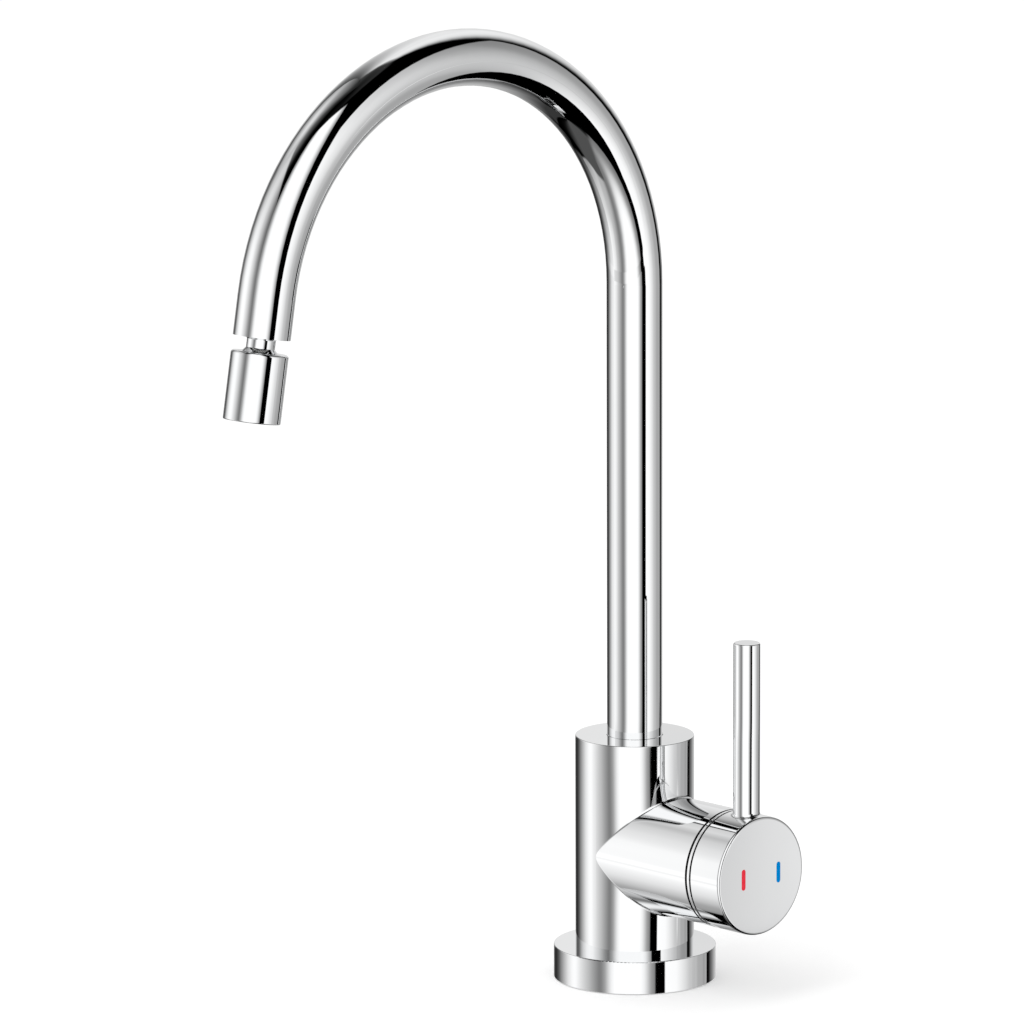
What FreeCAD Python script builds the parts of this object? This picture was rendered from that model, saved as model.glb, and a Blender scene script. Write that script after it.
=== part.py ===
import math
import os

import FreeCAD
import Part
import Sketcher

V = FreeCAD.Vector
doc = FreeCAD.newDocument("mixer_tap")
sheet = doc.addObject("Spreadsheet::Sheet", "Dims")

# Sizes in millimetres and degrees.
# Z runs up the body, the handle points along +X and the spout reaches along -Y.
sizes = [
    ("flange_r", 32.4),
    ("flange_h", 13.0),
    ("flange_edge", 0.35),
    ("flange_wall", 2.6),
    ("body_r", 23.7),
    ("body_top", 98.5),
    ("body_edge", 0.4),
    ("spigot_r", 21.5),
    ("axis_z", 52.5),
    ("crease_r", 1.0),
    ("cap_x", 52.65),
    ("cap_len", 17.95),
    ("pivot_in", 7.55),
    ("rim_edge", 0.55),
    ("line_at", 1.5),
    ("line_wide", 0.8),
    ("line_deep", 0.8),
    ("line_edge", 0.2),
    ("face_edge", 1.1),
    ("rim_wall", 2.5),
    ("face_wall", 3.0),
    ("bowl_gap", 0.32),
    ("dome_gap", 0.4),
    ("dome_wall", 1.2),
    ("lever_r", 5.3),
    ("lever_at", 9.85),
    ("lever_top", 145.1),
    ("lever_edge", 0.6),
    ("lever_root", 1.2),
    ("boss_rise", 1.6),
    ("stud_r", 2.45),
    ("mark_at", 9.75),
    ("mark_wide", 2.1),
    ("mark_tall", 8.4),
    ("mark_deep", 0.4),
    ("tube_r", 11.0),
    ("tube_wall", 1.0),
    ("tube_gap", 0.12),
    ("neck_z", 281.0),
    ("arc_r", 98.1),
    ("arc_deg", 170.0),
    ("end_len", 15.6),
    ("shank_r", 9.5),
    ("shank_low", 60.0),
    ("grub_z", 86.0),
    ("ball_r", 8.0),
    ("ball_in", 5.0),
    ("ball_neck_r", 5.5),
    ("neck_gap", 5.65),
    ("nozzle_r", 11.0),
    ("nozzle_len", 26.4),
    ("nozzle_edge", 1.0),
    ("seat_x", 17.0),
    ("cart_r", 17.5),
    ("nose_r", 11.8),
    ("carrier_r", 9.5),
    ("tail_len", 9.0),
    ("swing_deg", 20.0),
    ("inlet_x", 9.0),
    ("inlet_y", 8.0),
    ("inlet_r", 5.0),
    ("feed_r", 3.4),
    ("stud_hole_r", 4.0),
    ("slip", 0.05),
]

# Sizes that follow from the ones above.
tied = [
    ("house_r", "body_r - 0.08"),
    ("face_x", "cap_x + cap_len"),
    ("pivot_x", "cap_x + pivot_in"),
    ("lever_x", "cap_x + lever_at"),
    ("line_x", "cap_x + line_at"),
    ("rim_ball_r", "sqrt((pivot_in - rim_edge) ^ 2 + (body_r - rim_edge) ^ 2) + rim_edge"),
    ("bowl_r", "rim_ball_r + bowl_gap"),
    ("cap_in_r", "sqrt(pivot_in ^ 2 + (body_r - rim_wall) ^ 2)"),
    ("dome_r", "cap_in_r - dome_gap"),
    ("dome_in_r", "dome_r - dome_wall"),
    ("wall_x", "face_x - face_wall"),
    ("lip_x", "pivot_x - sqrt(bowl_r ^ 2 - house_r ^ 2)"),
    ("shell_x", "seat_x + 3"),
    ("nut_x", "seat_x + 21.5"),
    ("dome_x", "nut_x + 6.5"),
    ("bore_r", "cart_r + 0.1"),
    ("thread_r", "cart_r + 0.9"),
    ("bowl_x", "pivot_x - sqrt(bowl_r ^ 2 - thread_r ^ 2)"),
    ("carrier_in_x", "shell_x + 13.1"),
    ("carrier_x", "pivot_x - 7.5"),
    ("travel", "tail_len * sin(swing_deg)"),
    ("tube_in_r", "tube_r - tube_wall"),
    ("tube_low", "body_top - 4.1"),
    ("sink_z", "tube_low - 1"),
    ("spout_bore_r", "shank_r + 0.1"),
    ("chamber_z", "shank_low - 2.5"),
    ("end_y", "arc_r * (1 - cos(arc_deg)) + end_len * sin(arc_deg)"),
    ("end_z", "neck_z + arc_r * sin(arc_deg) + end_len * cos(arc_deg)"),
    ("drop", "nozzle_len + neck_gap"),
    ("ball_w", "drop + ball_in"),
    ("tip_y", "end_y + drop * sin(arc_deg)"),
    ("tip_z", "end_z + drop * cos(arc_deg)"),
    ("socket_r", "tube_in_r - 0.02"),
    ("ring_r", "socket_r - 0.66"),
]

row = 0
for alias, value in sizes:
    row = row + 1
    sheet.set("A%d" % row, alias)
    sheet.set("B%d" % row, str(value))
    sheet.setAlias("B%d" % row, alias)
for alias, text in tied:
    row = row + 1
    sheet.set("A%d" % row, alias)
    sheet.set("B%d" % row, "=" + text)
    sheet.setAlias("B%d" % row, alias)
sheet.recompute()

cells = {}


def cell(text):
    """Alias of the sheet cell that holds this formula."""
    if text not in cells:
        number = len(cells) + 1
        alias = "calc_%03d" % number
        sheet.set("D%d" % number, "=" + text)
        sheet.setAlias("D%d" % number, alias)
        cells[text] = alias
    return cells[text]


def numbers(texts):
    """Present values of several formulas."""
    names = [cell(text) for text in texts]
    sheet.recompute()
    return [float(sheet.get(name)) for name in names]


def bind(thing, prop, text):
    thing.setExpression(prop, "Dims." + cell(text))


def new_body(name):
    body = doc.addObject("PartDesign::Body", name)
    body.Label = name
    return body


def side_frame(body):
    """Local Z lies along the handle axis, local X along world Y, local Y points up."""
    body.Placement = FreeCAD.Placement(V(0, 0, 0), FreeCAD.Rotation(V(1, 1, 1), 120))
    bind(body, "Placement.Base.z", "axis_z")


def outlet_frame(body):
    """Local Z lies along the outlet, from the nozzle's mouth up into the tube."""
    body.Placement = FreeCAD.Placement(V(0, 0, 0), FreeCAD.Rotation(V(-1, 0, 0), 10))
    bind(body, "Placement.Base.y", "-tip_y")
    bind(body, "Placement.Base.z", "tip_z")
    bind(body, "Placement.Rotation.Angle", "180 - arc_deg")


planes = {"XY": "XY_Plane", "XZ": "XZ_Plane", "YZ": "YZ_Plane"}


def new_sketch(body, name, plane, offset="0"):
    sketch = body.newObject("Sketcher::SketchObject", name)
    face = [f for f in body.Origin.OriginFeatures if f.Role == planes[plane]][0]
    sketch.AttachmentSupport = [(face, "")]
    sketch.MapMode = "FlatFace"
    if offset != "0":
        bind(sketch, "AttachmentOffset.Base.z", offset)
    return sketch


def pin_point(sketch, edge, end, h_text, v_text, h, v):
    index = sketch.addConstraint(Sketcher.Constraint("DistanceX", -1, 1, edge, end, h))
    bind(sketch, "Constraints[%d]" % index, h_text)
    index = sketch.addConstraint(Sketcher.Constraint("DistanceY", -1, 1, edge, end, v))
    bind(sketch, "Constraints[%d]" % index, v_text)


def add_wire(sketch, corners, closed=True):
    """Lines and arcs through corners. A corner may carry the radius and centre of its arc."""
    texts = []
    for corner in corners:
        texts.extend(corner)
    found = numbers(texts)
    table = dict(zip(texts, found))
    count = len(corners)
    first = sketch.GeometryCount
    last = count if closed else count - 1
    ends = []
    for i in range(last):
        a = corners[i]
        b = corners[(i + 1) % count]
        pa = V(table[a[0]], table[a[1]], 0)
        pb = V(table[b[0]], table[b[1]], 0)
        if len(a) == 2:
            sketch.addGeometry(Part.LineSegment(pa, pb), False)
            ends.append((1, 2))
            continue
        centre = V(table[a[3]], table[a[4]], 0)
        ra = pa - centre
        rb = pb - centre
        start = math.atan2(ra.y, ra.x)
        stop = math.atan2(rb.y, rb.x)
        circle = Part.Circle(centre, V(0, 0, 1), table[a[2]])
        if ra.x * rb.y - ra.y * rb.x > 0:
            sketch.addGeometry(Part.ArcOfCircle(circle, start, stop), False)
            ends.append((1, 2))
        else:
            sketch.addGeometry(Part.ArcOfCircle(circle, stop, start), False)
            ends.append((2, 1))
    for i in range(last):
        if closed or i + 1 < last:
            after = (i + 1) % last
            sketch.addConstraint(
                Sketcher.Constraint("Coincident", first + i, ends[i][1], first + after, ends[after][0])
            )
    for i in range(last):
        corner = corners[i]
        pin_point(sketch, first + i, ends[i][0], corner[0], corner[1], table[corner[0]], table[corner[1]])
        if len(corner) > 2:
            index = sketch.addConstraint(Sketcher.Constraint("Radius", first + i, table[corner[2]]))
            bind(sketch, "Constraints[%d]" % index, corner[2])
    if not closed:
        corner = corners[-1]
        edge = first + last - 1
        pin_point(sketch, edge, ends[-1][1], corner[0], corner[1], table[corner[0]], table[corner[1]])


def add_circle(sketch, h_text, v_text, r_text):
    h, v, r = numbers([h_text, v_text, r_text])
    edge = sketch.addGeometry(Part.Circle(V(h, v, 0), V(0, 0, 1), r), False)
    index = sketch.addConstraint(Sketcher.Constraint("Radius", edge, r))
    bind(sketch, "Constraints[%d]" % index, r_text)
    pin_point(sketch, edge, 3, h_text, v_text, h, v)


def turn(body, name, corners, kind="Revolution"):
    """Profile of radius and height, turned about the body's local Z."""
    sketch = new_sketch(body, name + "_profile", "XZ")
    add_wire(sketch, corners)
    feature = body.newObject("PartDesign::" + kind, name)
    feature.Profile = sketch
    feature.ReferenceAxis = (sketch, ["V_Axis"])
    feature.Angle = 360
    return feature


def extrude(body, name, sketch, length, cut, along_normal):
    feature = body.newObject("PartDesign::Pocket" if cut else "PartDesign::Pad", name)
    feature.Profile = sketch
    feature.Length = numbers([length])[0]
    bind(feature, "Length", length)
    feature.Reversed = along_normal if cut else not along_normal
    return feature


def drill(body, name, plane, start, length, holes, along_normal=True):
    sketch = new_sketch(body, name + "_sketch", plane, start)
    for hole in holes:
        add_circle(sketch, hole[0], hole[1], hole[2])
    return extrude(body, name, sketch, length, True, along_normal)


def turned_body(name, corners, frame=None):
    body = new_body(name)
    turn(body, name + "_turn", corners)
    if frame:
        frame(body)
    return body


def round_edges(body, name, edges, radius):
    base = body.Tip
    feature = body.newObject("PartDesign::Fillet", name)
    feature.Base = (base, edges)
    feature.Radius = numbers([radius])[0]
    bind(feature, "Radius", radius)
    return feature


# Base ring that covers the hole in the worktop, and its gasket.
turned_body("base_flange", [
    ("spigot_r + 0.1", "0"),
    ("spigot_r + 2.1", "0"),
    ("spigot_r + 2.1", "flange_h - flange_wall"),
    ("flange_r - 3.8", "flange_h - flange_wall"),
    ("flange_r - 3.8", "2"),
    ("flange_r - 2.6", "2"),
    ("flange_r - 2.6", "0"),
    ("flange_r", "0"),
    ("flange_r", "flange_h - flange_edge", "flange_edge", "flange_r - flange_edge", "flange_h - flange_edge"),
    ("flange_r - flange_edge", "flange_h"),
    ("spigot_r + 0.1", "flange_h"),
])
turned_body("base_gasket", [
    ("flange_r - 5.2", "0"),
    ("flange_r - 2.65", "0"),
    ("flange_r - 2.65", "1.95"),
    ("flange_r - 5.2", "1.95"),
])

# Body: turned column, side housing, bores and water ways.
body = new_body("body_casting")
turn(body, "column", [
    ("0", "0"),
    ("spigot_r", "0"),
    ("spigot_r", "flange_h"),
    ("body_r", "flange_h"),
    ("body_r", "body_top - body_edge", "body_edge", "body_r - body_edge", "body_top - body_edge"),
    ("body_r - body_edge", "body_top"),
    ("0", "body_top"),
])
house = new_sketch(body, "housing_sketch", "YZ")
add_circle(house, "0", "axis_z", "house_r")
extrude(body, "housing", house, "lip_x", False, True)
doc.recompute()
crease = []
for index, edge in enumerate(body.Shape.Edges):
    if edge.Curve.TypeId not in ("Part::GeomLine", "Part::GeomCircle"):
        crease.append("Edge%d" % (index + 1))
round_edges(body, "crease_blend", crease, "crease_r")
turn(body, "spout_bore", [
    ("0", "chamber_z"),
    ("spout_bore_r", "chamber_z"),
    ("spout_bore_r", "sink_z"),
    ("tube_r + tube_gap", "sink_z"),
    ("tube_r + tube_gap", "body_top - 0.2"),
    ("tube_r + tube_gap + 0.2", "body_top"),
    ("tube_r + tube_gap + 0.2", "body_top + 1"),
    ("0", "body_top + 1"),
], "Groove")
cavity = new_sketch(body, "cartridge_bore_profile", "XZ")
bind(cavity, "AttachmentOffset.Base.y", "axis_z")
add_wire(cavity, [
    ("seat_x", "0"),
    ("seat_x", "bore_r"),
    ("nut_x - 0.5", "bore_r"),
    ("nut_x", "thread_r"),
    ("bowl_x", "thread_r", "bowl_r", "pivot_x", "0"),
    ("lip_x", "house_r"),
    ("lip_x + 3", "house_r"),
    ("lip_x + 3", "0"),
])
bore = body.newObject("PartDesign::Groove", "cartridge_bore")
bore.Profile = cavity
bore.ReferenceAxis = (cavity, ["H_Axis"])
bore.Angle = 360
drill(body, "outlet_way", "YZ", "0", "seat_x + 0.5", [("0", "axis_z + 8.5", "feed_r")])
drill(body, "inlet_ways", "YZ", "inlet_x", "seat_x - inlet_x + 0.5", [
    ("inlet_y", "axis_z - 6", "feed_r"),
    ("-inlet_y", "axis_z - 6", "feed_r"),
])
drill(body, "inlet_risers", "XY", "0", "axis_z - 6", [
    ("inlet_x", "inlet_y", "feed_r"),
    ("inlet_x", "-inlet_y", "feed_r"),
])
drill(body, "hose_threads", "XY", "-1", "14", [
    ("inlet_x", "inlet_y", "inlet_r"),
    ("inlet_x", "-inlet_y", "inlet_r"),
])
drill(body, "stud_thread", "XY", "-1", "17", [("0", "0", "stud_hole_r")])
drill(body, "locating_holes", "YZ", "seat_x - 2.5", "3", [
    ("0", "axis_z - 14.2", "1.6"),
    ("0", "axis_z + 14.2", "1.6"),
])
drill(body, "grub_thread", "XZ", "-body_r - 1", "body_r - spout_bore_r + 2", [("0", "grub_z", "2.5")])

# Cartridge: seal, base, shell, ceramic discs and clamping nut.
ports = [
    ("inlet_y", "-6", "feed_r"),
    ("-inlet_y", "-6", "feed_r"),
    ("0", "8.5", "feed_r"),
]
seal = turned_body("port_seal", [
    ("0", "seat_x + 0.01"),
    ("cart_r - 5", "seat_x + 0.01"),
    ("cart_r - 5", "seat_x + 1"),
    ("0", "seat_x + 1"),
], side_frame)
drill(seal, "seal_ports", "XY", "seat_x - 1", "3", ports)

foot = turned_body("cartridge_base", [
    ("0", "seat_x + 1.05"),
    ("cart_r - 4.95", "seat_x + 1.05"),
    ("cart_r - 4.95", "seat_x + 0.02"),
    ("cart_r", "seat_x + 0.02"),
    ("cart_r", "shell_x - 0.02"),
    ("0", "shell_x - 0.02"),
], side_frame)
pegs = new_sketch(foot, "pegs_sketch", "XY", "seat_x + 0.5")
add_circle(pegs, "0", "14.2", "1.5")
add_circle(pegs, "0", "-14.2", "1.5")
extrude(foot, "pegs", pegs, "2.7", False, False)
drill(foot, "base_ports", "XY", "seat_x", "4", ports)

shell = turned_body("cartridge_shell", [
    ("cart_r - 2.4", "shell_x"),
    ("cart_r", "shell_x"),
    ("cart_r", "nut_x"),
    ("nose_r", "nut_x"),
    ("nose_r", "carrier_x - 0.7"),
    ("carrier_r + 0.05", "carrier_x - 0.7"),
    ("carrier_r + 0.05", "carrier_in_x + 0.35"),
    ("cart_r - 2.4", "carrier_in_x + 0.35"),
], side_frame)

disc = turned_body("fixed_disc", [
    ("0", "shell_x"),
    ("cart_r - 2.45", "shell_x"),
    ("cart_r - 2.45", "shell_x + 3"),
    ("0", "shell_x + 3"),
], side_frame)
drill(disc, "disc_ports", "XY", "shell_x - 1", "5", ports)

turned_body("cartridge_nut", [
    ("nose_r + 0.1", "nut_x + 0.02"),
    ("thread_r - 0.05", "nut_x + 0.02"),
    ("thread_r - 0.05", "nut_x + 4.4"),
    ("cart_r - 1.6", "nut_x + 6.4"),
    ("nose_r + 0.1", "nut_x + 6.4"),
], side_frame)

turned_body("dome_cover", [
    ("nose_r + 0.1", "dome_x"),
    ("sqrt(dome_r ^ 2 - (pivot_x - dome_x) ^ 2)", "dome_x", "dome_r", "0", "pivot_x"),
    ("sqrt(dome_r ^ 2 - 0.36)", "pivot_x - 0.6"),
    ("sqrt(dome_in_r ^ 2 - 0.36)", "pivot_x - 0.6", "dome_in_r", "0", "pivot_x"),
    ("sqrt(dome_in_r ^ 2 - (pivot_x - dome_x - 1.4) ^ 2)", "dome_x + 1.4"),
    ("nose_r + 0.1", "dome_x + 1.4"),
], side_frame)

# Turning carrier with its slot, ears and seal.
carrier = turned_body("stem_carrier", [
    ("0", "shell_x + 9.6"),
    ("cart_r - 2.5", "shell_x + 9.6"),
    ("cart_r - 2.5", "carrier_in_x"),
    ("carrier_r", "carrier_in_x"),
    ("carrier_r", "shell_x + 21"),
    ("carrier_r - 0.9", "shell_x + 21"),
    ("carrier_r - 0.9", "shell_x + 22.5"),
    ("carrier_r", "shell_x + 22.5"),
    ("carrier_r", "carrier_x"),
    ("0", "carrier_x"),
], side_frame)
ears = new_sketch(carrier, "ears_sketch", "YZ", "-8.3")
add_wire(ears, [
    ("-3", "carrier_x - 1"),
    ("3", "carrier_x - 1"),
    ("3", "pivot_x", "3", "0", "pivot_x"),
    ("0", "pivot_x + 3", "3", "0", "pivot_x"),
    ("-3", "pivot_x"),
])
extrude(carrier, "ears", ears, "16.6", False, True)
gap = new_sketch(carrier, "ear_gap_sketch", "YZ", "-4.3")
add_wire(gap, [
    ("-6", "carrier_x"),
    ("6", "carrier_x"),
    ("6", "pivot_x + 4"),
    ("-6", "pivot_x + 4"),
])
extrude(carrier, "ear_gap", gap, "8.6", True, True)
slot = new_sketch(carrier, "slot_sketch", "XY", "shell_x + 9")
add_wire(slot, [
    ("-3.95", "-4.2"),
    ("3.95", "-4.2"),
    ("3.95", "4.2 + travel"),
    ("-3.95", "4.2 + travel"),
])
extrude(carrier, "slot", slot, "carrier_x - shell_x - 8", True, True)
drill(carrier, "pin_hole", "YZ", "-9", "18", [("0", "pivot_x", "1.5")])

turned_body("carrier_seal", [
    ("carrier_r - 0.88", "shell_x + 21.05"),
    ("carrier_r + 0.02", "shell_x + 21.05"),
    ("carrier_r + 0.02", "shell_x + 22.45"),
    ("carrier_r - 0.88", "shell_x + 22.45"),
], side_frame)

pin = new_body("pivot_pin")
pin_circle = new_sketch(pin, "pivot_pin_sketch", "YZ", "-8.2")
add_circle(pin_circle, "0", "pivot_x", "1.48")
extrude(pin, "pivot_pin_rod", pin_circle, "16.4", False, True)
side_frame(pin)

# Sliding disc and the carriage that the stem's tail pushes.
disc = turned_body("moving_disc", [
    ("0", "shell_x + 3.05"),
    ("11", "shell_x + 3.05"),
    ("11", "shell_x + 6"),
    ("0", "shell_x + 6"),
], side_frame)
drill(disc, "mixing_pocket", "XY", "shell_x + 3", "1.8", [("0", "3", "6.2")])

carriage = turned_body("drive_carriage", [
    ("0", "shell_x + 6.02"),
    ("11", "shell_x + 6.02"),
    ("11", "shell_x + 9.5"),
    ("0", "shell_x + 9.5"),
], side_frame)
post = new_sketch(carriage, "post_sketch", "XY", "shell_x + 9")
add_wire(post, [
    ("-3.9", "-3.9"),
    ("3.9", "-3.9"),
    ("3.9", "3.9"),
    ("-3.9", "3.9"),
])
extrude(carriage, "post", post, "pivot_x - tail_len + 2 - shell_x - 9", False, True)
mouth = new_sketch(carriage, "mouth_sketch", "YZ", "-5")
add_wire(mouth, [
    ("-2.56", "pivot_x - tail_len - 2.7"),
    ("2.56", "pivot_x - tail_len - 2.7"),
    ("2.56", "pivot_x - tail_len + 4"),
    ("-2.56", "pivot_x - tail_len + 4"),
])
extrude(carriage, "mouth", mouth, "10", True, True)

# Stem: square head, hub on the pin and a ball-ended tail.
hub = new_body("stem")
hub_circle = new_sketch(hub, "hub_sketch", "YZ", "-4")
add_circle(hub_circle, "0", "pivot_x", "4.5")
extrude(hub, "hub", hub_circle, "8", False, True)
head = new_sketch(hub, "head_sketch", "XY", "pivot_x")
add_wire(head, [
    ("-4", "-4"),
    ("4", "-4"),
    ("4", "4"),
    ("-4", "4"),
])
extrude(hub, "head", head, "face_x - 1.7 - pivot_x", False, True)
turn(hub, "tail", [
    ("0", "pivot_x - tail_len - 2.5", "2.5", "0", "pivot_x - tail_len"),
    ("2.5", "pivot_x - tail_len", "2.5", "0", "pivot_x - tail_len"),
    ("1.6", "pivot_x - tail_len + sqrt(3.69)"),
    ("1.6", "pivot_x - 2"),
    ("0", "pivot_x - 2"),
])
drill(hub, "hub_hole", "YZ", "-6", "12", [("0", "pivot_x", "1.54")])
side_frame(hub)

# Handle cap: hollow shell whose rim rides on a ball about the pivot.
# A fine turned line sets a narrow bead off from the rest of the cap.
cap = turned_body("handle_cap", [
    ("0", "face_x"),
    ("body_r - face_edge", "face_x", "face_edge", "body_r - face_edge", "face_x - face_edge"),
    ("body_r", "face_x - face_edge"),
    ("body_r", "line_x + line_wide + line_edge", "line_edge", "body_r - line_edge",
     "line_x + line_wide + line_edge"),
    ("body_r - line_edge", "line_x + line_wide"),
    ("body_r - line_deep", "line_x + line_wide"),
    ("body_r - line_deep", "line_x"),
    ("body_r - line_edge", "line_x", "line_edge", "body_r - line_edge", "line_x - line_edge"),
    ("body_r", "line_x - line_edge"),
    ("body_r", "cap_x + rim_edge", "rim_edge", "body_r - rim_edge", "cap_x + rim_edge"),
    ("body_r - rim_edge", "cap_x"),
    ("body_r - rim_wall", "cap_x", "cap_in_r", "0", "pivot_x"),
    ("sqrt(cap_in_r ^ 2 - (wall_x - pivot_x) ^ 2)", "wall_x"),
    ("13.8", "wall_x"),
    ("13.8", "pivot_x - 0.1"),
    ("10.3", "pivot_x - 0.1"),
    ("10.3", "pivot_x + 3.3"),
    ("0", "pivot_x + 3.3"),
], side_frame)
socket = new_sketch(cap, "socket_sketch", "XY", "pivot_x + 3")
add_wire(socket, [
    ("-4.05", "-4.05"),
    ("4.05", "-4.05"),
    ("4.05", "4.05"),
    ("-4.05", "4.05"),
])
extrude(cap, "socket", socket, "face_x - 1.5 - pivot_x - 3", True, True)
rib = new_sketch(cap, "rib_sketch", "XY", "pivot_x - 0.05")
add_wire(rib, [
    ("-4", "12.5"),
    ("4", "12.5"),
    ("4", "body_r - 1"),
    ("-4", "body_r - 1"),
])
extrude(cap, "rib", rib, "wall_x - pivot_x + 0.5", False, True)
root = new_sketch(cap, "lever_root_sketch", "XZ", "-body_r - boss_rise")
add_circle(root, "0", "lever_x", "lever_r")
extrude(cap, "lever_root", root, "boss_rise + 1", False, True)
doc.recompute()
rims = []
root_width = numbers(["2.6 * lever_r"])[0]
for index, edge in enumerate(cap.Shape.Edges):
    box = edge.BoundBox
    wide = max(box.XLength, box.YLength, box.ZLength)
    if edge.Curve.TypeId not in ("Part::GeomLine", "Part::GeomCircle") and wide < root_width:
        rims.append("Edge%d" % (index + 1))
round_edges(cap, "lever_root_blend", rims, "lever_root")
drill(cap, "lever_thread", "XZ", "-body_r - boss_rise - 1", "body_r + boss_rise - 3",
      [("0", "lever_x", "stud_r + 0.05")])
marks = new_sketch(cap, "marks_sketch", "XY", "face_x - mark_deep")


def mark_wire(sketch, side, wide, tall):
    """Upright slot with round ends, on the left or right of the face."""
    r = "(%s) / 2" % wide
    top = "(%s) / 2" % tall
    h = "(%s) / 2 - (%s) / 2" % (tall, wide)
    centre = "%smark_at" % side
    left = "%s - %s" % (centre, r)
    right = "%s + %s" % (centre, r)
    add_wire(sketch, [
        (right, "-(%s)" % h),
        (right, h, r, centre, h),
        (centre, top, r, centre, h),
        (left, h),
        (left, "-(%s)" % h, r, centre, "-(%s)" % h),
        (centre, "-%s" % top, r, centre, "-(%s)" % h),
    ])


mark_wire(marks, "-", "mark_wide + 0.06", "mark_tall + 0.06")
mark_wire(marks, "", "mark_wide + 0.06", "mark_tall + 0.06")
extrude(cap, "mark_recesses", marks, "mark_deep + 1", True, True)

for name, side in (("hot_mark", "-"), ("cold_mark", "")):
    mark = new_body(name)
    outline = new_sketch(mark, name + "_sketch", "XY", "face_x - mark_deep + 0.01")
    mark_wire(outline, side, "mark_wide", "mark_tall")
    extrude(mark, name + "_fill", outline, "mark_deep - 0.01", False, True)
    side_frame(mark)

# Lever: turned rod with the stud that clamps the stem.
lever = turned_body("lever", [
    ("0", "4.6"),
    ("stud_r - 0.5", "4.6"),
    ("stud_r", "5.1"),
    ("stud_r", "body_r + boss_rise"),
    ("lever_r", "body_r + boss_rise"),
    ("lever_r", "lever_top - axis_z - lever_edge", "lever_edge", "lever_r - lever_edge",
     "lever_top - axis_z - lever_edge"),
    ("lever_r - lever_edge", "lever_top - axis_z"),
    ("0", "lever_top - axis_z"),
])
bind(lever, "Placement.Base.x", "lever_x")
bind(lever, "Placement.Base.z", "axis_z")

# Spout: swept tube, turned shank, seals and the ring it turns on.
tube = new_body("spout_tube")
path = new_sketch(tube, "spout_path", "XZ")
add_wire(path, [
    ("0", "tube_low"),
    ("0", "neck_z", "arc_r", "arc_r", "neck_z"),
    ("arc_r * (1 - cos(arc_deg))", "neck_z + arc_r * sin(arc_deg)"),
    ("end_y", "end_z"),
], False)
ring = new_sketch(tube, "spout_ring", "XY", "tube_low")
add_circle(ring, "0", "0", "tube_r")
add_circle(ring, "0", "0", "tube_in_r")
sweep = tube.newObject("PartDesign::AdditivePipe", "spout_sweep")
sweep.Profile = ring
sweep.Spine = (path, [])
tube.Placement = FreeCAD.Placement(V(0, 0, 0), FreeCAD.Rotation(V(0, 0, -1), 90))

turned_body("spout_shank", [
    ("6", "shank_low"),
    ("shank_r - 0.5", "shank_low"),
    ("shank_r", "shank_low + 0.5"),
    ("shank_r", "shank_low + 6"),
    ("shank_r - 1.6", "shank_low + 6"),
    ("shank_r - 1.6", "shank_low + 8.2"),
    ("shank_r", "shank_low + 8.2"),
    ("shank_r", "shank_low + 13"),
    ("shank_r - 1.6", "shank_low + 13"),
    ("shank_r - 1.6", "shank_low + 15.2"),
    ("shank_r", "shank_low + 15.2"),
    ("shank_r", "grub_z - 2"),
    ("shank_r - 1.9", "grub_z - 2"),
    ("shank_r - 1.9", "grub_z + 2"),
    ("shank_r", "grub_z + 2"),
    ("shank_r", "tube_low"),
    ("socket_r", "tube_low"),
    ("socket_r", "tube_low + 15"),
    ("socket_r - 1.5", "tube_low + 16.5"),
    ("6", "tube_low + 16.5"),
])
for name, height in (("spout_oring_lower", "shank_low + 7.1"), ("spout_oring_upper", "shank_low + 14.1")):
    turned_body(name, [
        ("shank_r - 1.55", height + " - 0.3"),
        ("shank_r - 1", height + " - 0.8"),
        ("shank_r - 0.5", height + " - 0.8"),
        ("shank_r + 0.05", height + " - 0.3"),
        ("shank_r + 0.05", height + " + 0.3"),
        ("shank_r - 0.5", height + " + 0.8"),
        ("shank_r - 1", height + " + 0.8"),
        ("shank_r - 1.55", height + " + 0.3"),
    ])
turned_body("glide_ring", [
    ("shank_r + 0.06", "sink_z"),
    ("tube_r + tube_gap - 0.02", "sink_z"),
    ("tube_r + tube_gap - 0.02", "tube_low - 0.05"),
    ("shank_r + 0.06", "tube_low - 0.05"),
])
grub = turned_body("spout_grub_screw", [
    ("0", "shank_r - 1.4"),
    ("1.5", "shank_r - 1.4"),
    ("1.6", "shank_r - 1.3"),
    ("1.6", "shank_r + 0.6"),
    ("2.45", "shank_r + 1.4"),
    ("2.45", "body_r - 2.6"),
    ("0", "body_r - 2.6"),
])
key = new_sketch(grub, "key_sketch", "XY", "body_r - 2.6")
add_wire(key, [
    ("1.25 / cos(30)", "0"),
    ("1.25 * tan(30)", "1.25"),
    ("-1.25 * tan(30)", "1.25"),
    ("-1.25 / cos(30)", "0"),
    ("-1.25 * tan(30)", "-1.25"),
    ("1.25 * tan(30)", "-1.25"),
])
extrude(grub, "key", key, "2.5", True, False)
grub.Placement = FreeCAD.Placement(V(0, 0, 0), FreeCAD.Rotation(V(-1, 0, 0), 90))
bind(grub, "Placement.Base.z", "grub_z")

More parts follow.
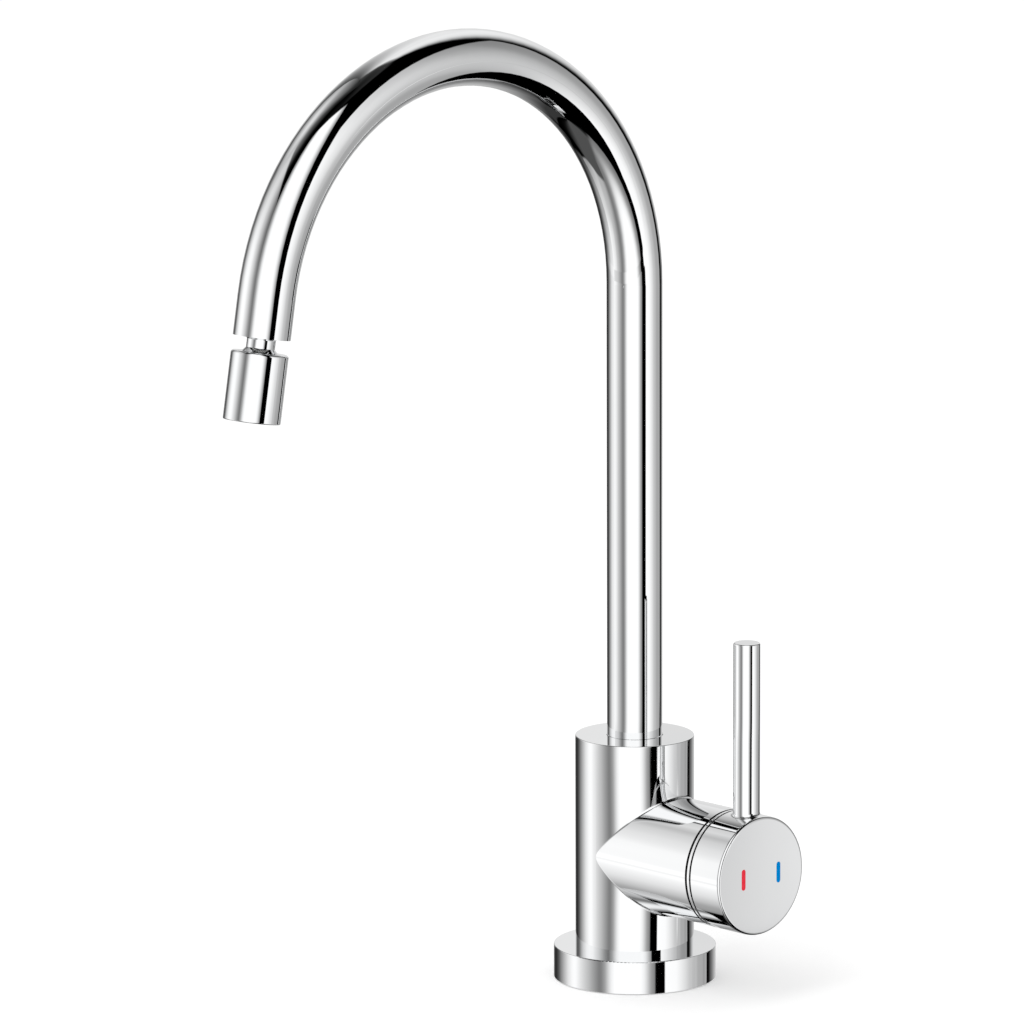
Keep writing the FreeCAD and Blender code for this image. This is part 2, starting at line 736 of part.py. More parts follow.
# Outlet: socket in the tube's end, its ring, seal and retainer.
turned_body("outlet_socket", [
    ("ball_neck_r + 2.3", "drop"),
    ("socket_r", "drop"),
    ("socket_r", "drop + 14"),
    ("ring_r + 0.05", "drop + 14"),
    ("ring_r + 0.05", "drop + 1.55"),
    ("ball_neck_r + 2.1", "drop + 1.55"),
], outlet_frame)
turned_body("ball_seat", [
    ("sqrt((ball_r + slip) ^ 2 - (ball_in - 1.6) ^ 2)", "drop + 1.6", "ball_r + slip", "0", "ball_w"),
    ("ball_r + slip", "ball_w"),
    ("ring_r", "ball_w"),
    ("ring_r", "drop + 1.6"),
], outlet_frame)
turned_body("ball_seal", [
    ("sqrt((ball_r + 0.3) ^ 2 - 1.44)", "ball_w + 1.2", "ball_r + 0.3", "0", "ball_w"),
    ("sqrt((ball_r + 0.3) ^ 2 - 16)", "ball_w + 4"),
    ("ring_r + 0.03", "ball_w + 4"),
    ("ring_r + 0.03", "ball_w + 1.2"),
], outlet_frame)
turned_body("socket_retainer", [
    ("ball_r - 0.7", "ball_w + 4.05"),
    ("ring_r + 0.03", "ball_w + 4.05"),
    ("ring_r + 0.03", "ball_w + 7"),
    ("ball_r - 1.7", "ball_w + 7"),
    ("ball_r - 0.7", "ball_w + 5.6"),
], outlet_frame)

# Nozzle: ball with neck and spigot, housing, washer and flow insert.
turned_body("ball_stem", [
    ("3", "nozzle_len - 5.4"),
    ("4.95", "nozzle_len - 5.4"),
    ("4.95", "nozzle_len + 0.02"),
    ("ball_neck_r + 1.4", "nozzle_len + 0.02"),
    ("ball_neck_r", "nozzle_len + 1.6"),
    ("ball_neck_r", "ball_w - sqrt(ball_r ^ 2 - ball_neck_r ^ 2)", "ball_r", "0", "ball_w"),
    ("ball_r", "ball_w", "ball_r", "0", "ball_w"),
    ("sqrt(ball_r ^ 2 - 20.25)", "ball_w + 4.5"),
    ("3", "ball_w + 4.5"),
], outlet_frame)
turned_body("neck_nut", [
    ("5", "nozzle_len - 5.2"),
    ("7.6", "nozzle_len - 5.2"),
    ("7.6", "nozzle_len - 2.45"),
    ("5", "nozzle_len - 2.45"),
], outlet_frame)
turned_body("aerator_housing", [
    ("nozzle_r - 1.8", "0"),
    ("nozzle_r - 0.4", "0", "0.4", "nozzle_r - 0.4", "0.4"),
    ("nozzle_r", "0.4"),
    ("nozzle_r", "nozzle_len - nozzle_edge", "nozzle_edge", "nozzle_r - nozzle_edge",
     "nozzle_len - nozzle_edge"),
    ("nozzle_r - nozzle_edge", "nozzle_len"),
    ("5", "nozzle_len"),
    ("5", "nozzle_len - 2.4"),
    ("nozzle_r - 1.2", "nozzle_len - 2.4"),
    ("nozzle_r - 1.2", "1.4"),
    ("nozzle_r - 1.8", "1.4"),
], outlet_frame)
turned_body("aerator_washer", [
    ("6.5", "9.55"),
    ("nozzle_r - 1.25", "9.55"),
    ("nozzle_r - 1.25", "11.2"),
    ("6.5", "11.2"),
], outlet_frame)
insert = turned_body("aerator_insert", [
    ("0", "1.5"),
    ("nozzle_r - 1.25", "1.5"),
    ("nozzle_r - 1.25", "9.5"),
    ("nozzle_r - 2.6", "9.5"),
    ("nozzle_r - 2.6", "3.6"),
    ("0", "3.6"),
], outlet_frame)
drill(insert, "centre_hole", "XY", "1", "4", [("0", "0", "0.9")])
for name, radius, count in (("inner_holes", "2.7", 6), ("middle_holes", "5.1", 12)):
    hole = drill(insert, name, "XY", "1", "4", [(radius, "0", "0.9")])
    ringed = insert.newObject("PartDesign::PolarPattern", name + "_ring")
    ringed.Originals = [hole]
    ringed.Axis = (hole.Profile[0], ["N_Axis"])
    ringed.Angle = 360
    ringed.Occurrences = int(count)
    insert.Tip = ringed

doc.recompute()
os.makedirs("parts", exist_ok=True)
for thing in doc.Objects:
    if "Invalid" in thing.State or "Error" in thing.State:
        raise RuntimeError("%s is %s" % (thing.Name, thing.State))
bodies = [thing for thing in doc.Objects if thing.TypeId == "PartDesign::Body"]
for body in bodies:
    shape = body.Shape
    if shape.isNull() or not shape.isValid() or len(shape.Solids) != 1:
        raise RuntimeError("%s has no single valid solid" % body.Label)
    shape.exportStep("parts/%s.step" % body.Label)
print(len(bodies), "pieces written")
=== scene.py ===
"""Looks of a chrome kitchen mixer tap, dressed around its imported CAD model.

The tap stands on a pale floor in a photographer's studio. Polished chrome has
no look of its own, so most of its look is the studio: large soft panels with
black gaps between them, all fixed in space.
"""

import math

import bpy
from mathutils import Matrix, Vector


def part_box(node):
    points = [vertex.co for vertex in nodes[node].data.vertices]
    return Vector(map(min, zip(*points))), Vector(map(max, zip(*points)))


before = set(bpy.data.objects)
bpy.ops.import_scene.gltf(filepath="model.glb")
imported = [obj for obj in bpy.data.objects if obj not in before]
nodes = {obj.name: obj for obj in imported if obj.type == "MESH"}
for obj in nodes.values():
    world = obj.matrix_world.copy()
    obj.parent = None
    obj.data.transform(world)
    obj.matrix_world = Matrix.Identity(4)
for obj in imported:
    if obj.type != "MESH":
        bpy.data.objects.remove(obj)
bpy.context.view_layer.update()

# Camera: where the photographer stood, in metres and radians, and a long lens.
CAMERA_AZIMUTH = math.radians(45.3567)
CAMERA_DISTANCE = 3.0918638
CAMERA_HEIGHT = 0.7903783
CAMERA_PITCH = 0.19222
CAMERA_YAW = -0.0157
CAMERA_ROLL = -0.0036
FOCAL_PIXELS = 7953.26
FRAME_PIXELS = 1024
SENSOR_MM = 36.0
NEAR_CLIP = 0.05
FAR_CLIP = 60

TO_CAMERA = Vector((math.sin(CAMERA_AZIMUTH), -math.cos(CAMERA_AZIMUTH), 0))
TO_RIGHT = Vector((math.cos(CAMERA_AZIMUTH), math.sin(CAMERA_AZIMUTH), 0))
UP = Vector((0, 0, 1))

# Soft lamp, in metres and watts, and the floor.
LAMP_WIDTH = 1.6
LAMP_WATTS = 14
LAMP_PLACE = TO_CAMERA * 1.3 - TO_RIGHT * 1.1 + UP * 2.3
LAMP_AIM = Vector((0, 0, .15))
FLOOR_RADIUS = 7.0
FLOOR_CORNERS = 96
FLOOR_DROP = 0.0004
FLOOR_GLOW = .26

# Axis of the housing, and where painted shade begins inside the joints, in metres:
# depths below the cap's outside, then radii and places in the body.
AXIS_HEIGHT = .0525
CAP_WALL_DEPTH = .0007
CAP_FACE_DEPTH = .0012
LINE_DEPTH = .00028
LINE_END = .0024
BOWL_RADIUS = .02335
BOWL_START = .0165
BORE_RADIUS = .01119
BORE_RIM = .0004
BORE_END = .05
# Painted shade: a near-black colour for the insides of the joints, bowl and bores.
JOINT_PAINTED_SHADE = (.030, .029, .028, 1)


def add_camera():
    right = TO_RIGHT * math.cos(CAMERA_YAW) + TO_CAMERA * math.sin(CAMERA_YAW)
    level = TO_RIGHT * math.sin(CAMERA_YAW) - TO_CAMERA * math.cos(CAMERA_YAW)
    ahead = level * math.cos(CAMERA_PITCH) - UP * math.sin(CAMERA_PITCH)
    up = UP * math.cos(CAMERA_PITCH) + level * math.sin(CAMERA_PITCH)
    rolled_right = right * math.cos(CAMERA_ROLL) + up * math.sin(CAMERA_ROLL)
    rolled_up = up * math.cos(CAMERA_ROLL) - right * math.sin(CAMERA_ROLL)
    data = bpy.data.cameras.new("camera")
    data.sensor_width = SENSOR_MM
    data.lens = FOCAL_PIXELS / FRAME_PIXELS * SENSOR_MM
    data.clip_start = NEAR_CLIP
    data.clip_end = FAR_CLIP
    camera = bpy.data.objects.new("camera", data)
    place = TO_CAMERA * CAMERA_DISTANCE + UP * CAMERA_HEIGHT
    turn = Matrix((rolled_right, rolled_up, -ahead)).transposed()
    camera.matrix_world = Matrix.Translation(place) @ turn.to_4x4()
    bpy.context.scene.collection.objects.link(camera)
    bpy.context.scene.camera = camera


class Net:
    """Short names for the nodes that a shader needs."""

    def __init__(self, tree):
        self.tree = tree
        tree.nodes.clear()

    def node(self, kind, **settings):
        made = self.tree.nodes.new(kind)
        for name, value in settings.items():
            setattr(made, name, value)
        return made

    def feed(self, socket, value):
        if isinstance(value, bpy.types.NodeSocket):
            self.tree.links.new(value, socket)
        else:
            socket.default_value = value

    def math(self, operation, *values):
        made = self.node("ShaderNodeMath", operation=operation)
        for socket, value in zip(made.inputs, values):
            self.feed(socket, value)
        return made.outputs[0]

    def dot(self, vector, constant):
        """Length of vector along a constant direction."""
        made = self.node("ShaderNodeVectorMath", operation="DOT_PRODUCT")
        self.feed(made.inputs[0], vector)
        made.inputs[1].default_value = constant
        return made.outputs["Value"]

    def smooth(self, value, low, high, start=0.0, end=1.0):
        """From start to end as value goes from low to high, with soft ends."""
        made = self.node("ShaderNodeMapRange", interpolation_type="SMOOTHSTEP")
        for socket, given in zip(made.inputs, (value, low, high, start, end)):
            self.feed(socket, given)
        return made.outputs[0]

    def profile(self, value, stops):
        """Straight lines through (value, result) pairs, with results from 0 to 1."""
        low = stops[0][0]
        high = stops[-1][0]
        spread = self.node("ShaderNodeMapRange")
        for socket, given in zip(spread.inputs, (value, low, high, 0.0, 1.0)):
            self.feed(socket, given)
        ramp = self.node("ShaderNodeValToRGB")
        points = ramp.color_ramp.elements
        while len(points) < len(stops):
            points.new(0.5)
        for point, (at, _) in zip(points, stops):
            point.position = (at - low) / (high - low)
        for point, (_, level) in zip(points, stops):
            point.color = (level, level, level, 1)
        self.feed(ramp.inputs[0], spread.outputs[0])
        return ramp.outputs[0]

    def blend(self, under, over, share):
        """From under, at share 0, to over, at share 1."""
        made = self.node("ShaderNodeMix", data_type="FLOAT")
        self.feed(made.inputs[0], share)
        self.feed(made.inputs[2], under)
        self.feed(made.inputs[3], over)
        return made.outputs[0]

    def product(self, *values):
        result = values[0]
        for value in values[1:]:
            result = self.math("MULTIPLY", result, value)
        return result


# Studio: its light at screen white, its plain level, the screen's curve, and a
# limit that keeps heights finite at a panel's far ends.
WHITE = 1.10
PLAIN_LEVEL = 0.80
SCREEN_GAMMA = 2.2
LEAST_COSINE = 0.05

# Studio: its panels' middles, edges and extents, all angles in degrees, and its
# small turn in one band of heights.
FULL_TURN = 360.0
LEFT_MIDDLE = -90.0
FRONT_MIDDLE = -7.5
RIGHT_MIDDLE = 95.0
FRONT_EDGE = 32.7
FRONT_DEPTH = 65.0
RIGHT_START = 45.0
RIGHT_CURVE = 10.0
RIGHT_STOP = 123.4
RIGHT_STOP_MOST = 136.0
BACK_SEAM = 127.0
BACK_STOP = 210.0
LOW_BACK_START = 137.0
TURN_BY_BODY = 2.7


class Studio:
    """The panels round the tap, which only mirrors see.

    Brightness is worked out as it looks on a screen, from 0, black, to 1, white.
    Across is the compass angle in degrees from the camera's side, + to its right.
    Up is the angle above the horizon. Nearer panels are laid over farther ones.
    Edges and levels are rounded values, chosen so that the metal mirrors in the
    main view what it mirrors in the photo. They are no measured studio. In a
    band about 13 to 15 degrees below the horizon, which the body and the base ring
    mirror in that view, the studio is also turned a little.
    """

    def __init__(self, net):
        self.net = net
        direction = net.node("ShaderNodeTexCoord").outputs["Generated"]
        side = net.dot(direction, TO_RIGHT)
        near = net.dot(direction, TO_CAMERA)
        self.up = net.math("DEGREES", net.math("ARCSINE", net.dot(direction, UP)))
        self.by_body = net.product(net.smooth(self.up, -12.55, -12.68), net.smooth(self.up, -15.6, -14.8))
        compass = net.math("DEGREES", net.math("ARCTAN2", side, near))
        self.across = net.math("ADD", compass, net.product(self.by_body, TURN_BY_BODY))
        self.steep = net.math("TANGENT", net.math("RADIANS", self.up))
        self.on_right = net.math("GREATER_THAN", self.across, 0.0)
        self.light = 0.0

    def height(self, off):
        """Height on a flat panel, off degrees away from the panel's middle."""
        cosine = self.net.math("COSINE", self.net.math("RADIANS", off))
        return self.net.math("DIVIDE", self.steep, self.net.math("MAXIMUM", cosine, LEAST_COSINE))

    def from_middle(self, middle):
        """Degrees to the right of a panel's middle."""
        return self.net.math("SUBTRACT", self.across, middle)

    def between(self, value, low, high, soft_low, soft_high):
        """1 from low to high, and 0 outside, with edges of the given half widths."""
        rising = self.net.smooth(value, low - soft_low, low + soft_low)
        falling = self.net.smooth(value, high - soft_high, high + soft_high, 1.0, 0.0)
        return self.net.product(rising, falling)

    def bend(self, top, rate):
        """Grows with the square of the angle below top."""
        below = self.net.math("MAXIMUM", self.net.math("SUBTRACT", top, self.up), 0.0)
        return self.net.product(below, below, rate)

    def lay(self, shade, shape):
        """Lays a panel over those before it, where shape gives 1."""
        self.light = self.net.blend(self.light, shade, shape)

    def add_ceiling(self):
        """Dim ceiling, darkest on the camera's side."""
        net = self.net
        shade = net.profile(self.across, [(-180, .26), (-110, .26), (-60, .06), (0, .09), (60, .19),
                                          (120, .23), (180, .24)])
        fade = net.smooth(self.up, 72, 90, 1.0, .58)
        self.lay(net.product(shade, fade), net.smooth(self.up, 67, 75))

    def add_ground(self):
        """Dim ground on the left and in front, far below the horizon."""
        net = self.net
        shade = net.profile(self.across, [(-150, .0), (-138, .08), (-130, .19), (-122, .26),
                                          (-112, .31), (12, .31), (34, .0)])
        self.lay(shade, net.smooth(self.up, -52, -57))

    def add_sheet(self):
        """Pale sheet above the left-hand panel, brightest about 42 degrees up."""
        net = self.net
        shade = net.profile(self.across, [(-152, .45), (-149, .65), (-144, .74), (-136, .84),
                                          (-126, .87), (-116, .74), (-104, .50), (-92, .38),
                                          (-80, .16), (-66, .0)])
        fade = net.profile(self.up, [(14, .0), (17, .50), (21, .72), (32, .90), (42, 1.0),
                                     (48, .95), (60, .66), (72, .46), (80, .28)])
        self.lay(net.product(shade, fade), net.product(self.between(self.across, -153, -50, 2, 4),
                                                       self.between(self.up, 14, 80, 3, 5)))

    def add_left(self):
        """Panel on the left, which never darkens the sheet behind its upper part."""
        net = self.net
        shade = net.profile(self.across, [(-152, .34), (-144, .36), (-137, .46), (-129, .67),
                                          (-120, .83), (-108, .97), (-99, 1.0), (-90, .98),
                                          (-66, .72), (-50, .49)])
        lower = net.profile(self.across, [(-150, .58), (-138, .70), (-122, .79), (-112, .87),
                                          (-100, .96), (-94, 1.0)])
        far_end = net.smooth(self.across, -112, -126)
        deep = net.product(far_end, net.smooth(self.up, -26, -36, .0, .35))
        share = net.product(net.smooth(self.up, -1, -8), net.math("SUBTRACT", 1.0, deep))
        near_end = net.blend(1.0, net.smooth(self.across, -76, -54, 1.0, .86),
                             net.smooth(self.up, -9, -2))
        shade = net.product(shade, net.blend(1.0, lower, share), near_end)
        fade = net.profile(self.up, [(-58, .72), (-45, .81), (-32, .90), (-15, 1.0), (6, 1.0),
                                     (16, .98), (24, .915), (34, .855), (46, .80)])
        steady = net.product(net.smooth(self.across, -88, -56), net.smooth(self.up, 0, -10))
        steady = net.math("MAXIMUM", steady, net.product(far_end, .5))
        glare = net.product(self.between(self.across, -91, -75, 3, 4),
                            self.between(self.up, -35, -8, 6, 3),
                            net.math("SUBTRACT", 1.0, self.by_body), .09)
        shade = net.product(shade, net.blend(fade, 1.0, steady), net.math("ADD", 1.0, glare))
        off = self.from_middle(LEFT_MIDDLE)
        left_off = net.math("MINIMUM", off, 0.0)
        reach = net.math("ADD", self.height(left_off), net.smooth(self.across, -134, -114, 1.32, 1.55))
        shape = net.product(self.between(self.across, -150, -40, 2, 2), net.smooth(reach, -.08, .08),
                            net.smooth(self.height(off), 1.13, .99))
        shade = net.math("MINIMUM", shade, 1.0)
        self.lay(net.math("MAXIMUM", shade, self.light), shape)

    def add_back(self):
        """Tall panel behind the tap, whose right-hand seam curves away low down."""
        net = self.net
        seam = net.math("ADD", BACK_SEAM, self.bend(48.0, .0042))
        beyond = net.math("SUBTRACT", self.across, seam)
        right = net.profile(beyond, [(-3, .0), (-1, .10), (3, .27), (7, .50), (13, .68), (19, .80),
                                     (27, .89), (38, .92), (45, .895)])
        right = net.product(right, net.smooth(self.up, 26, 12, 1.0, .94))
        around = net.math("ADD", self.across, FULL_TURN)
        left = net.profile(around, [(180, .89), (188, .81), (196, .675), (204, .455), (211, .26)])
        left_low = net.profile(around, [(180, .83), (190, .82), (198, .75), (206, .55), (211, .40)])
        left = net.blend(left, left_low, net.smooth(self.up, 15, 7))
        before_stop = net.math("LESS_THAN", around, BACK_STOP)
        side = net.math("MAXIMUM", self.on_right, before_stop)
        self.lay(net.blend(left, right, self.on_right),
                 net.product(side, self.between(self.up, -9, 73.5, 3, 3.5)))

    def add_low_back(self):
        """Low panel behind the tap, with a brighter strip near its end."""
        net = self.net
        right = net.profile(self.across, [(138, .0), (143, .30), (149, .63), (154, .53), (158, .63),
                                          (168, .71), (180, .71)])
        left = net.profile(self.across, [(-180, .70), (-168, .49), (-158, .27), (-153, .16),
                                         (-149, .12), (-146, .0)])
        fade = net.profile(self.up, [(-74, .10), (-70, .40), (-60, .56), (-45, .84), (-30, 1.0)])
        shade = net.product(net.blend(left, right, self.on_right), fade)
        ground = net.product(net.smooth(self.across, -149, -152, .0, .22), net.smooth(self.up, -46, -52))
        behind = net.math("MAXIMUM", net.math("GREATER_THAN", self.across, LOW_BACK_START),
                          net.math("LESS_THAN", self.across, BACK_STOP - FULL_TURN))
        self.lay(net.math("MAXIMUM", shade, ground), net.product(behind, net.smooth(self.up, -6, -12)))

    def add_front(self):
        """Large panel in front, with a round bright middle."""
        net = self.net
        wide = net.math("ADD", net.smooth(self.up, -6, 1, 36.0, 40.0),
                        net.smooth(self.up, -34, -50, .0, 2.5))
        off = net.math("DIVIDE", net.math("ABSOLUTE", self.from_middle(FRONT_MIDDLE)), wide)
        below = net.math("MAXIMUM", net.math("MULTIPLY", self.up, -1.0), 0.0)
        down = net.math("DIVIDE", below, FRONT_DEPTH)
        reach = net.math("SQRT", net.math("ADD", net.product(off, off), net.product(down, down)))
        shade = net.profile(reach, [(0, 1.0), (.56, 1.0), (.69, .94), (.77, .86), (.85, .76),
                                    (.94, .63), (1.02, .56), (1.1, .50), (1.3, .45)])
        right_edge = net.math("SUBTRACT", FRONT_EDGE, net.smooth(self.up, -24, -64, .0, 3.6))
        notch = net.product(self.between(self.up, -17, -9.5, 1, 1), .6)
        right_edge = net.math("SUBTRACT", right_edge, notch)
        inside = net.math("SUBTRACT", right_edge, self.across)
        from_left = net.math("ADD", self.across, net.smooth(self.up, -4, 3, .0, 3.5))
        self.lay(shade, net.product(net.smooth(from_left, -50.5, -45.5), net.smooth(inside, -1.5, 1.5),
                                    self.between(self.height(self.from_middle(FRONT_MIDDLE)),
                                                 -2.9, 3.25, .55, .30)))

    def add_right(self):
        """Panel on the right, beyond a black gap."""
        net = self.net
        curve = net.profile(self.up, [(-14, .09), (-9, .32), (-4, .76), (0, .82), (6, .73), (14, .64),
                                      (30, .55)])
        near_edge = net.math("ADD", RIGHT_START, net.product(curve, RIGHT_CURVE))
        far_edge = net.math("MINIMUM", net.math("ADD", RIGHT_STOP, self.bend(14.0, .0105)),
                            RIGHT_STOP_MOST)
        start = net.math("SUBTRACT", self.across, near_edge)
        stop = net.math("SUBTRACT", far_edge, self.across)
        shade = net.profile(self.across, [(46, 1.0), (64, .985), (72, .93), (80, .86), (88, .765),
                                          (96, .725), (104, .655), (112, .635), (121, .64),
                                          (130, .655)])
        fade = net.profile(self.up, [(-42, .98), (-8, 1.0), (0, .98), (12, .93), (20, .88),
                                     (30, .83), (42, .80)])
        lift = net.product(net.smooth(self.across, 70, 50, .0, .10), net.smooth(self.up, -6, 20))
        shade = net.product(shade, fade, net.math("ADD", 1.0, lift))
        self.lay(net.math("MINIMUM", shade, 1.0),
                 net.product(net.smooth(start, -1.2, 1.2), net.smooth(stop, -1.8, 2.2),
                             self.between(self.height(self.from_middle(RIGHT_MIDDLE)),
                                          -.911, .885, .03, .05)))

    def add_post(self):
        """Black post and the wall beyond it, low on the right, level with the body."""
        net = self.net
        shade = net.profile(self.across, [(100, .73), (105, .66), (115, .65), (119.5, .59), (123, .65),
                                          (126.5, .62), (128, .0), (132, .0), (134.5, .16),
                                          (140, .36), (155, .63), (168, .77), (180, .82)])
        self.lay(shade, net.product(net.smooth(self.across, 96, 101),
                                    self.between(self.up, -18, -12.45, 1, .15)))

    def add_card(self):
        """Small card on the right, for the handle's flat face in the main view."""
        net = self.net
        shade = net.smooth(self.across, 92.4, 93.4, .80, .89)
        self.lay(shade, net.product(self.between(self.across, 91, 97, .5, 1),
                                    self.between(self.up, -14.1, -13.0, .1, .1)))


def add_studio():
    """World: white to the camera, plain for matt things, panels for mirrors."""
    world = bpy.data.worlds.new("studio")
    bpy.context.scene.world = world
    world.use_nodes = True
    net = Net(world.node_tree)
    studio = Studio(net)
    studio.add_ceiling()
    studio.add_ground()
    studio.add_sheet()
    studio.add_left()
    studio.add_back()
    studio.add_low_back()
    studio.add_front()
    studio.add_right()
    studio.add_post()
    studio.add_card()
    panels = net.product(net.math("POWER", studio.light, SCREEN_GAMMA), WHITE)
    rays = net.node("ShaderNodeLightPath").outputs
    seen = net.blend(PLAIN_LEVEL, panels, rays["Is Glossy Ray"])
    seen = net.blend(seen, 1.0, rays["Is Camera Ray"])
    background = net.node("ShaderNodeBackground")
    net.feed(background.inputs["Color"], seen)
    output = net.node("ShaderNodeOutputWorld")
    net.feed(output.inputs["Surface"], background.outputs[0])
    # Rays from surfaces find the panels. The world isn't sampled as a lamp as well.
    world.cycles.sampling_method = "NONE"


def add_lamp():
    """One large soft lamp, for a shadow under matt things. Mirrors don't show it."""
    data = bpy.data.lights.new("soft_lamp", "AREA")
    data.shape = "DISK"
    data.size = LAMP_WIDTH
    data.energy = LAMP_WATTS
    lamp = bpy.data.objects.new("soft_lamp", data)
    lamp.location = LAMP_PLACE
    lamp.rotation_euler = (LAMP_AIM - LAMP_PLACE).to_track_quat("-Z", "Y").to_euler()
    lamp.visible_glossy = False
    lamp.visible_camera = False
    bpy.context.scene.collection.objects.link(lamp)


def add_floor():
    """Pale matt floor, which glows a little to the camera. Mirrors don't show it."""
    mesh = bpy.data.meshes.new("floor")
    turns = [2 * math.pi * i / FLOOR_CORNERS for i in range(FLOOR_CORNERS)]
    ring = [(FLOOR_RADIUS * math.cos(turn), FLOOR_RADIUS * math.sin(turn), 0) for turn in turns]
    mesh.from_pydata(ring, [], [list(range(FLOOR_CORNERS))])
    floor = bpy.data.objects.new("floor", mesh)
    floor.location.z = -FLOOR_DROP
    bpy.context.scene.collection.objects.link(floor)
    material = bpy.data.materials.new("pale_floor")
    material.use_nodes = True
    net = Net(material.node_tree)
    shader = net.node("ShaderNodeBsdfPrincipled")
    shader.inputs["Base Color"].default_value = (.93, .93, .93, 1)
    shader.inputs["Roughness"].default_value = .9
    shader.inputs["Specular IOR Level"].default_value = .0
    rays = net.node("ShaderNodeLightPath").outputs
    glow = net.math("MULTIPLY", rays["Is Camera Ray"], FLOOR_GLOW)
    shader.inputs["Emission Color"].default_value = (1, 1, 1, 1)
    net.feed(shader.inputs["Emission Strength"], glow)
    output = net.node("ShaderNodeOutputMaterial")
    net.feed(output.inputs["Surface"], shader.outputs[0])
    mesh.materials.append(material)
    floor.visible_glossy = False


class Finish(Net):
    """A material whose nodes end in one Principled shader."""

    def __init__(self, name):
        self.material = bpy.data.materials.new(name)
        self.material.use_nodes = True
        super().__init__(self.material.node_tree)
        self.place = self.node("ShaderNodeTexCoord").outputs["Object"]
        self.shader = self.node("ShaderNodeBsdfPrincipled")
        output = self.node("ShaderNodeOutputMaterial")
        self.feed(output.inputs["Surface"], self.shader.outputs[0])

    def noise(self, scale, detail, stretch=(1, 1, 1)):
        spread = self.node("ShaderNodeMapping")
        spread.inputs["Scale"].default_value = stretch
        self.feed(spread.inputs["Vector"], self.place)
        grain = self.node("ShaderNodeTexNoise", noise_dimensions="3D")
        grain.inputs["Scale"].default_value = scale
        grain.inputs["Detail"].default_value = detail
        self.feed(grain.inputs["Vector"], spread.outputs[0])
        return grain.outputs[0]

    def mix_colour(self, first, second, share):
        made = self.node("ShaderNodeMix", data_type="RGBA")
        for name, colour in (("A", first), ("B", second)):
            self.feed(made.inputs[name], colour)
        self.feed(made.inputs["Factor"], share)
        return made.outputs["Result"]

    def bump(self, height, strength, distance):
        made = self.node("ShaderNodeBump")
        made.inputs["Strength"].default_value = strength
        made.inputs["Distance"].default_value = distance
        self.feed(made.inputs["Height"], height)
        self.feed(self.shader.inputs["Normal"], made.outputs[0])

    def coat(self, colour, rough):
        self.feed(self.shader.inputs["Base Color"], colour)
        self.feed(self.shader.inputs["Roughness"], rough)

    def fixed(self, **values):
        """Sets sockets of the shader, with _ for each space in a socket's name."""
        for name, value in values.items():
            self.shader.inputs[name.replace("_", " ")].default_value = value


def chrome(name="polished_chrome", painted_shade_mask=None):
    """Bright plating. Where the given mask gives 1, inside the joints, it is rougher and carries painted
    shade: a near-black colour.
    """
    look = Finish(name)
    look.fixed(Metallic=1.0)
    film = look.noise(26, 5)
    rough = look.smooth(film, .35, .75, .020, .042)
    colour = look.mix_colour((.925, .93, .935, 1), (.908, .915, .922, 1), look.smooth(film, .4, .7))
    # Painted shade inside the joints: the colour turns nearly black there.
    if painted_shade_mask:
        share = painted_shade_mask(look)
        rough = look.blend(rough, .38, share)
        colour = look.mix_colour(colour, JOINT_PAINTED_SHADE, share)
    look.coat(colour, rough)
    return look.material


def parts_of(look):
    """x, y and z of the shaded point, in metres."""
    axes = look.node("ShaderNodeSeparateXYZ")
    look.feed(axes.inputs[0], look.place)
    return axes.outputs


def from_handle_axis(look):
    """Distance from the axis of the housing and the handle cap."""
    _, y, z = parts_of(look)
    above = look.math("SUBTRACT", z, AXIS_HEIGHT)
    return look.math("SQRT", look.math("ADD", look.product(y, y), look.product(above, above)))


def painted_shade_in_cap(look):
    """Where shade is painted in the cap: inner walls, the end of its rim and the floor of its turned
    line.
    """
    x = parts_of(look)[0]
    away = from_handle_axis(look)
    low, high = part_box("handle_cap")
    radius = (high[1] - low[1]) / 2
    walls = look.product(look.math("LESS_THAN", away, radius - CAP_WALL_DEPTH),
                         look.math("LESS_THAN", x, high[0] - CAP_FACE_DEPTH))
    line = look.product(look.math("LESS_THAN", away, radius - LINE_DEPTH),
                        look.math("LESS_THAN", x, low[0] + LINE_END))
    return look.math("MAXIMUM", walls, line)


def painted_shade_in_body(look):
    """Where shade is painted in the body: its bowl and bores."""
    x, y, z = parts_of(look)
    bowl = look.product(look.math("LESS_THAN", from_handle_axis(look), BOWL_RADIUS),
                        look.math("GREATER_THAN", x, BOWL_START))
    from_spout_axis = look.math("SQRT", look.math("ADD", look.product(x, x), look.product(y, y)))
    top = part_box("body_casting")[1][2]
    bore = look.product(look.math("LESS_THAN", from_spout_axis, BORE_RADIUS),
                        look.math("LESS_THAN", z, top - BORE_RIM), look.math("GREATER_THAN", z, BORE_END))
    return look.math("MAXIMUM", bowl, bore)


def brass(name="machined_brass", dark=(.66, .44, .17, 1), light=(.80, .60, .29, 1)):
    look = Finish(name)
    look.fixed(Metallic=1.0)
    turned = look.noise(700, 3, (1.0, .08, .08))
    look.coat(look.mix_colour(dark, light, look.smooth(turned, .35, .65)),
              look.smooth(turned, .3, .7, .20, .34))
    look.bump(turned, .25, .00004)
    return look.material


def steel():
    look = Finish("bright_steel")
    look.fixed(Metallic=1.0)
    drawn = look.noise(900, 3, (.1, 1.0, 1.0))
    look.coat(look.mix_colour((.53, .54, .55, 1), (.66, .67, .68, 1), look.smooth(drawn, .35, .65)),
              look.smooth(drawn, .3, .7, .24, .36))
    look.bump(drawn, .2, .00003)
    return look.material


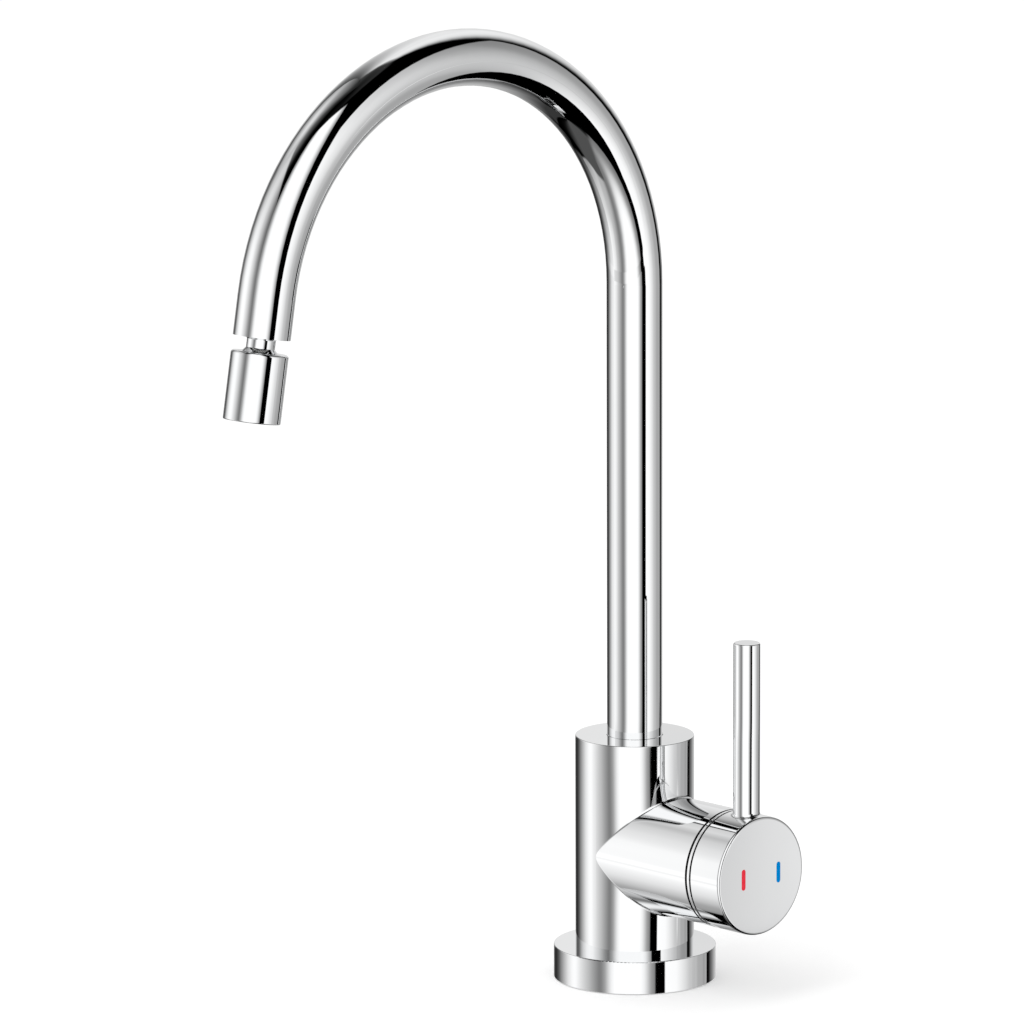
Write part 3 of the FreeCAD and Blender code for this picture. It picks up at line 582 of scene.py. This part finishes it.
def rubber():
    look = Finish("black_rubber_fine")
    grain = look.noise(1800, 6)
    look.coat(look.mix_colour((.018, .018, .019, 1), (.040, .040, .041, 1), look.smooth(grain, .3, .7)),
              look.smooth(grain, .3, .7, .52, .70))
    look.bump(grain, .3, .00005)
    return look.material


def plastic(name, dark, light):
    look = Finish(name)
    cloud = look.noise(160, 5)
    grain = look.noise(2400, 4)
    look.coat(look.mix_colour(dark, light, look.smooth(cloud, .3, .7)),
              look.smooth(grain, .3, .7, .36, .50))
    look.bump(grain, .15, .00003)
    return look.material


def ceramic():
    look = Finish("lapped_ceramic")
    speck = look.noise(1300, 2)
    look.coat(look.mix_colour((.84, .83, .79, 1), (.90, .89, .86, 1), look.smooth(speck, .4, .6)),
              look.smooth(speck, .3, .7, .10, .20))
    return look.material


def enamel(name, dark, light):
    """Matt fill of the marks on the handle's face."""
    look = Finish(name)
    look.fixed(Specular_IOR_Level=.0)
    cloud = look.noise(900, 4)
    look.coat(look.mix_colour(dark, light, look.smooth(cloud, .3, .7)),
              look.smooth(cloud, .3, .7, .25, .40))
    return look.material


def dress_nodes():
    finishes = {
        "chrome": chrome(),
        "brass": brass(),
        "steel": steel(),
        "black_rubber": rubber(),
        "white_plastic": plastic("white_nylon", (.80, .80, .77, 1), (.87, .87, .85, 1)),
        "grey_plastic": plastic("grey_acetal", (.40, .41, .42, 1), (.48, .49, .50, 1)),
        "disc_ceramic": ceramic(),
        "red_enamel": enamel("red_mark_fill", (.92, .040, .068, 1), (.98, .055, .085, 1)),
        "blue_enamel": enamel("blue_mark_fill", (.0, .24, .66, 1), (.0, .28, .74, 1)),
    }
    own = {
        # Cap and body carry painted shade inside their joints, bowl and bores.
        "handle_cap": chrome("polished_chrome_cap_painted_shade_inside", painted_shade_in_cap),
        "body_casting": chrome("polished_chrome_body_painted_shade_inside", painted_shade_in_body),
        # The brass nut is painted nearly black, as painted shade in the joint where it shows.
        "cartridge_nut": brass("brass_painted_dark_shade", (.030, .028, .026, 1), (.050, .047, .044, 1)),
    }
    for name, node in nodes.items():
        for slot in node.material_slots:
            kind = slot.material.name.split(".")[0]
            slot.material = own.get(name, finishes[kind])


add_camera()
add_studio()
add_lamp()
add_floor()
dress_nodes()
bpy.context.scene.view_settings.view_transform = "Standard"
